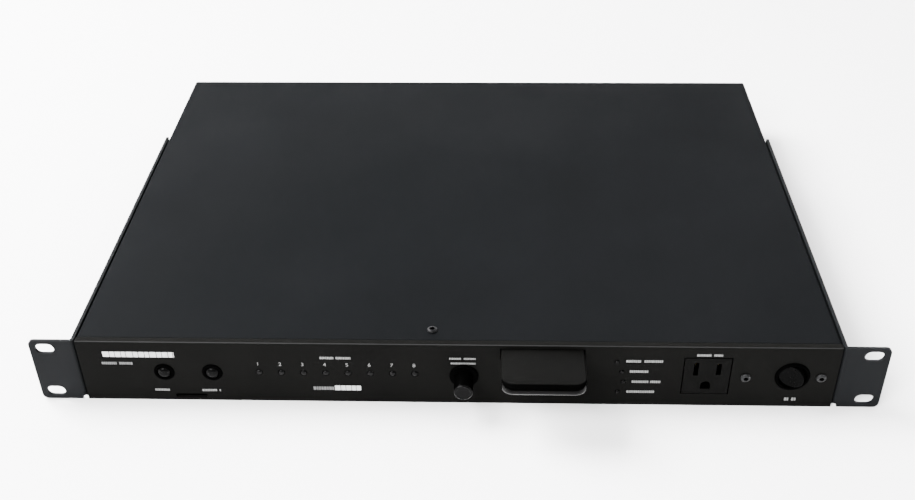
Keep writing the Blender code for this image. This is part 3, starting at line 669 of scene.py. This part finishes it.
def rocker_form():
    """Round paddle about its pivot, untilted: hollowed front, wedge-shaped back."""
    radius, edge, edge_steps, rings, steps = 7.0, 0.45, 5, 14, ROUND
    back_inset = 0.3

    def front(x):
        """Front face, which stands out more towards both ends."""
        return -1.5 - 1.30 * (abs(x) / radius) ** 1.6

    def back(x):
        """Back face, flat in the middle and sloping in towards both ends."""
        return 4.4 - max(0.0, abs(x) - 3.6) * 0.9

    loops = []
    for k in range(1, rings + 1):
        loops.append(((radius - edge) * k / rings, front, 0.0))
    for k in range(1, edge_steps + 1):
        angle = math.radians(90.0 * k / edge_steps)
        loops.append((radius - edge + edge * math.sin(angle), front,
                      edge * (1.0 - math.cos(angle))))
    loops.append((radius, back, -back_inset))
    for k in range(rings, 0, -1):
        loops.append(((radius - back_inset) * k / rings, back, 0.0))
    bm = bmesh.new()
    grid = []
    for r, form, drop in loops:
        ring = []
        for k in range(steps):
            angle = math.tau * k / steps
            x, z = r * math.cos(angle), r * math.sin(angle)
            ring.append(bm.verts.new((x * MM, (form(x) + drop) * MM, z * MM)))
        grid.append(ring)
    for a, b in zip(grid, grid[1:]):
        for k in range(steps):
            j = (k + 1) % steps
            bm.faces.new((a[k], a[j], b[j], b[k]))
    for ring, form in ((grid[0], front), (grid[-1], back)):
        hub = bm.verts.new((0.0, form(0.0) * MM, 0.0))
        for k in range(steps):
            bm.faces.new((ring[k], ring[(k + 1) % steps], hub))
    return bm


# ---- sockets ---------------------------------------------------------------
def outlets():
    """Grounded outlets: slots painted near-black as painted shade, with a pair of brass leaves
    in each.
    """
    slots = ((-6.35, 5.2, 3.6), (6.35, 5.2, 3.0), (0.0, -7.0, 1.6))  # x, z, half height
    leaf, leaf_start, leaf_end = 0.15 * MM, 6.0 * MM, 15.5 * MM
    reach_x, reach_z, rim, bottom = 9.5 * MM, 11.0 * MM, 1.0 * MM, 18.0 * MM
    for node in sorted(NODES):
        if not (node == "front_outlet" or node.startswith("rear_outlet_")):
            continue
        low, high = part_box(node)
        mid = (low + high) / 2
        inward = 1.0 if node == "front_outlet" else -1.0
        mouth = low.y if inward > 0 else high.y

        def hollow(face):
            """1 for the walls of the slots, which take the near-black painted shade."""
            c = face.calc_center_median()
            near = abs(c.x - mid.x) < reach_x and abs(c.z - mid.z) < reach_z
            return 1 if near and rim < inward * (c.y - mouth) < bottom else 0

        skin(node, soft=0.2, pick=hollow, extra=(PAINTED_SHADE_BLACK,))
        parts = []
        y = sorted((mouth + inward * leaf_start, mouth + inward * leaf_end))
        for dx, dz, half in slots:
            for side in (-1.0, 1.0):
                x = mid.x + (dx * inward + side) * MM
                z = mid.z + dz * MM
                parts.append(block((x - leaf, y[0], z - half * MM),
                                   (x + leaf, y[1], z + half * MM), 0.05 * MM, 1))
        piece(node + "_contacts", join(*parts), [CONTACT], "chassis", SLOT_OF[node])


def inlet():
    """Power inlet with three bright pins."""
    low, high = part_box("power_inlet")
    mid = (low + high) / 2
    pins = ((-7.0, -2.0), (0.0, 2.0), (7.0, -2.0))
    reach_x, reach_z = 1.05 * MM, 2.05 * MM
    root, tip = high.y - 15.0 * MM, high.y - 2.5 * MM

    def pick(face):
        """1 for the faces of a pin."""
        c = face.calc_center_median()
        if not root <= c.y <= tip:
            return 0
        for dx, dz in pins:
            near_x = abs(c.x - mid.x - dx * MM) < reach_x
            if near_x and abs(c.z - mid.z - dz * MM) < reach_z:
                return 1
        return 0

    skin("power_inlet", soft=0.2, pick=pick, extra=(PIN_METAL,))


def jack():
    """Network jack with eight sloping contacts."""
    skin("network_jack", soft=0.2)
    low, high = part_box("network_jack")
    mid = (low + high) / 2
    pitch, half, z = 1.02, 0.18 * MM, low.z + 9.6 * MM
    start, end = high.y - 12.6 * MM, high.y - 3.0 * MM
    turn_down = Matrix.Rotation(math.radians(-16.0), 4, "X")
    pins = []
    for k in range(8):
        x = mid.x + (k - 3.5) * pitch * MM
        pin = block((x - half, start, z - half), (x + half, end, z + half), 0.06 * MM, 1)
        root = Vector((x, start, z))
        bmesh.ops.transform(pin, verts=pin.verts,
                            matrix=Matrix.Translation(root) @ turn_down
                            @ Matrix.Translation(-root))
        pins.append(pin)
    piece("network_jack_contacts", join(*pins), [CONTACT], "chassis", "bare_steel")


# ---- inside ----------------------------------------------------------------
def inside():
    """Boards and the parts on them, seen only when the case is opened."""
    for node in ("main_pcb", "network_board", "control_pcb", "status_pcb"):
        skin(node, soft=0.1)
    for number in range(1, 9):
        skin("relay_%d" % number, soft=0.3)
    for node in ("button_switch_1", "button_switch_2", "dimmer_pot", "surge_module",
                 "filter_capacitor", "filter_choke", "transformer"):
        skin(node, soft=0.0 if node == "filter_choke" else 0.3)


# ---- printed marks ---------------------------------------------------------
def bars(name, words, z, height, ink, widths=(1.5, 0.9, 1.3, 1.1, 1.4, 1.0)):
    """Plain printed bars in word lengths; no letters."""
    parts = []
    height *= LABEL_SCALE
    front, back = FACE - INK_PROUD * MM, FACE + 0.01 * MM
    bottom, top = (z - height / 2) * MM, (z + height / 2) * MM
    step = 0
    for start, end in words:
        x = start
        while x < end - 0.3:
            width = min(widths[step % len(widths)] * height / LABEL_HEIGHT, end - x)
            parts.append(block((x * MM, front, bottom), ((x + width) * MM, back, top)))
            x += width + WORD_GAP * height
            step += 1
    piece(name, join(*parts), [ink], "chassis", "panel_paint")


def digit(number, x, z, height):
    """One printed digit, centred on x and z."""
    curve = bpy.data.curves.new("digit_%d" % number, "FONT")
    curve.body = str(number)
    curve.size = height * DIGIT_SIZE * MM
    curve.align_x = "CENTER"
    curve.extrude = 0.02 * MM
    source = bpy.data.objects.new("digit_source", curve)
    bpy.context.scene.collection.objects.link(source)
    bpy.context.view_layer.update()
    shaped = source.evaluated_get(bpy.context.evaluated_depsgraph_get())
    bm = bmesh.new()
    bm.from_mesh(shaped.to_mesh())
    shaped.to_mesh_clear()
    bpy.data.objects.remove(source)
    bmesh.ops.remove_doubles(bm, verts=bm.verts, dist=1e-7)
    place = Matrix.Translation((x * MM, FACE - 0.015 * MM, (z - height / 2) * MM))
    bmesh.ops.transform(bm, verts=bm.verts,
                        matrix=place @ Matrix.Rotation(math.radians(90.0), 4, "X"))
    piece("lamp_digit_%d" % number, bm, [INK], "chassis", "panel_paint")


def marks():
    """Everything printed on the panel: word starts and ends, height on the panel,
    letter height and ink."""
    bars("mark_left", [(-200.0, -159.3)], 34.2, 4.6, MARK_INK, (2.3, 1.7, 2.0, 1.5))
    bars("mark_left_small", [(-201.7, -193.0), (-191.6, -184.0)], 27.6, 2.2, DIM_INK)
    bars("button_mark_1", [(-174.2, -165.3)], 7.7, 1.9, INK)
    bars("button_mark_2", [(-146.6, -137.8), (-136.6, -135.8)], 7.7, 1.9, INK)
    bars("lamp_row_mark", [(-76.5, -68.6), (-67.4, -59.0)], 33.0, 2.0, INK)
    bars("mark_low_thin", [(-81.8, -69.8)], 10.1, 3.0, DIM_INK)
    bars("mark_low_bold", [(-69.4, -54.4)], 10.5, 4.2, MARK_INK, (2.2, 1.8, 2.0, 1.6))
    bars("knob_mark_upper", [(-3.3, 3.4), (5.0, 12.0)], 33.4, 1.5, INK)
    bars("knob_mark_lower", [(-2.5, 11.5)], 29.9, 1.5, INK)
    bars("status_mark_1", [(95.9, 104.5), (106.0, 116.7)], 32.8, 2.1, INK)
    bars("status_mark_2", [(98.4, 109.2)], 25.2, 2.1, INK)
    bars("status_mark_3", [(100.0, 109.6), (110.4, 116.1)], 17.6, 2.1, INK)
    bars("status_mark_4", [(97.6, 113.5)], 10.0, 2.1, INK)
    bars("outlet_mark", [(134.7, 142.6), (144.2, 149.1)], 37.6, 1.8, INK)
    bars("breaker_mark", [(187.4, 190.0), (191.5, 194.1)], 5.6, 2.6, INK)
    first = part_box("outlet_light_pipe")[0].x / MM + LAMP_START
    for index in range(LAMP_COUNT):
        digit(index + 1, first + LAMP_PITCH * index - 0.3, 28.1, 2.6)


# ---- room ------------------------------------------------------------------
def room():
    """Pale floor that sweeps up into a wall behind and beside the object and
    runs on flat towards the front."""
    bm = bmesh.new()
    floor = cad_low.z - 0.0002
    steps, flat, sweep, top = 96, 2.3, 0.5, 2.4     # metres: flat radius, bend, wall
    bend_rings, centre_y, apron = 18, -0.9, 0.12
    rings = []
    for k in range(bend_rings + 1):
        ring = []
        for i in range(steps):
            angle = math.tau * i / steps
            # 0 in front, where the floor runs on, 1 beside and behind the object
            lift = min(1.0, max(0.0, (math.sin(angle) + 0.75) / 0.35))
            lift = lift * lift * (3.0 - 2.0 * lift)
            if k < bend_rings:
                turned = math.radians(90.0 * k / (bend_rings - 1))
                reach, height = sweep * math.sin(turned), sweep * (1 - math.cos(turned))
            else:
                reach, height = sweep, top
            reach += (1.0 - lift) * k * apron
            ring.append(bm.verts.new(((flat + reach) * math.cos(angle),
                                      (flat + reach) * math.sin(angle) + centre_y,
                                      floor + lift * height)))
        rings.append(ring)
    bm.faces.new(rings[0])
    for a, b in zip(rings, rings[1:]):
        for i in range(steps):
            j = (i + 1) % steps
            bm.faces.new((b[i], b[j], a[j], a[i]))
    mesh = bpy.data.meshes.new("floor")
    bm.to_mesh(mesh)
    bm.free()
    for poly in mesh.polygons:
        poly.use_smooth = True
    obj = bpy.data.objects.new("floor", mesh)
    bpy.context.scene.collection.objects.link(obj)
    obj.data.materials.append(surface("floor_white", (0.84, 0.835, 0.84),
                                      (0.87, 0.865, 0.87), (0.7, 0.8), bump=0.05,
                                      grain=300.0, specular=0.1, patch=1.5))


def lamp(name, place, target, size, power):
    """White area lamp at a place, turned to a target; metres and watts."""
    data = bpy.data.lights.new(name, "AREA")
    data.shape = "RECTANGLE"
    data.size, data.size_y = size
    data.energy = power
    obj = bpy.data.objects.new(name, data)
    obj.location = place
    aim = Vector(target) - Vector(place)
    obj.rotation_mode = "QUATERNION"
    obj.rotation_quaternion = aim.to_track_quat("-Z", "Y")
    bpy.context.scene.collection.objects.link(obj)


def light():
    """Soft studio light, strongest from the left."""
    world = bpy.data.worlds.new("studio")
    world.use_nodes = True
    sky = world.node_tree.nodes["Background"]
    sky.inputs["Color"].default_value = (0.97, 0.985, 1.0, 1.0)
    sky.inputs["Strength"].default_value = 0.12
    bpy.context.scene.world = world
    lamp("key", (-1.15, 0.35, 1.35), (-0.1, 0.0, 0.0), (1.0, 1.0), 260.0)
    lamp("side", (1.7, 0.2, 2.0), (0.1, 0.0, 0.0), (0.7, 0.7), 28.0)
    lamp("front_left", (-1.0, -1.7, 1.6), (0.0, -0.2, 0.0), (1.3, 1.3), 240.0)
    lamp("front_right", (0.9, -1.9, 1.8), (0.0, -0.2, 0.0), (1.2, 1.2), 35.0)
    lamp("wall", (0.0, 0.4, 2.3), (0.0, 1.4, 0.5), (1.8, 0.6), 30.0)


def camera():
    """Above the front, looking down along the case; the view rolls slightly."""
    data = bpy.data.cameras.new("camera")
    data.sensor_width = 36.0
    data.lens = 44.91
    data.clip_start, data.clip_end = 0.02, 30.0
    obj = bpy.data.objects.new("camera", data)
    base = Vector(((PANEL_LOW.x + PANEL_HIGH.x) / 2, FACE, PANEL_LOW.z))
    right = Vector((0.99946, 0.03013, -0.01325)).normalized()
    ahead = Vector((-0.03222, 0.81372, -0.58037)).normalized()
    up = right.cross(ahead).normalized()
    right = ahead.cross(up).normalized()
    turned = Matrix((right, up, -ahead)).transposed().to_4x4()
    place = base + Vector((0.02165, -0.48624, 0.45523))
    obj.matrix_world = Matrix.Translation(place) @ turned
    bpy.context.scene.collection.objects.link(obj)
    bpy.context.scene.camera = obj


camera()
case()
screws()
buttons()
lamps()
knob()
drawer()
breaker()
outlets()
inlet()
jack()
inside()
marks()
room()
light()

bpy.context.view_layer.update()
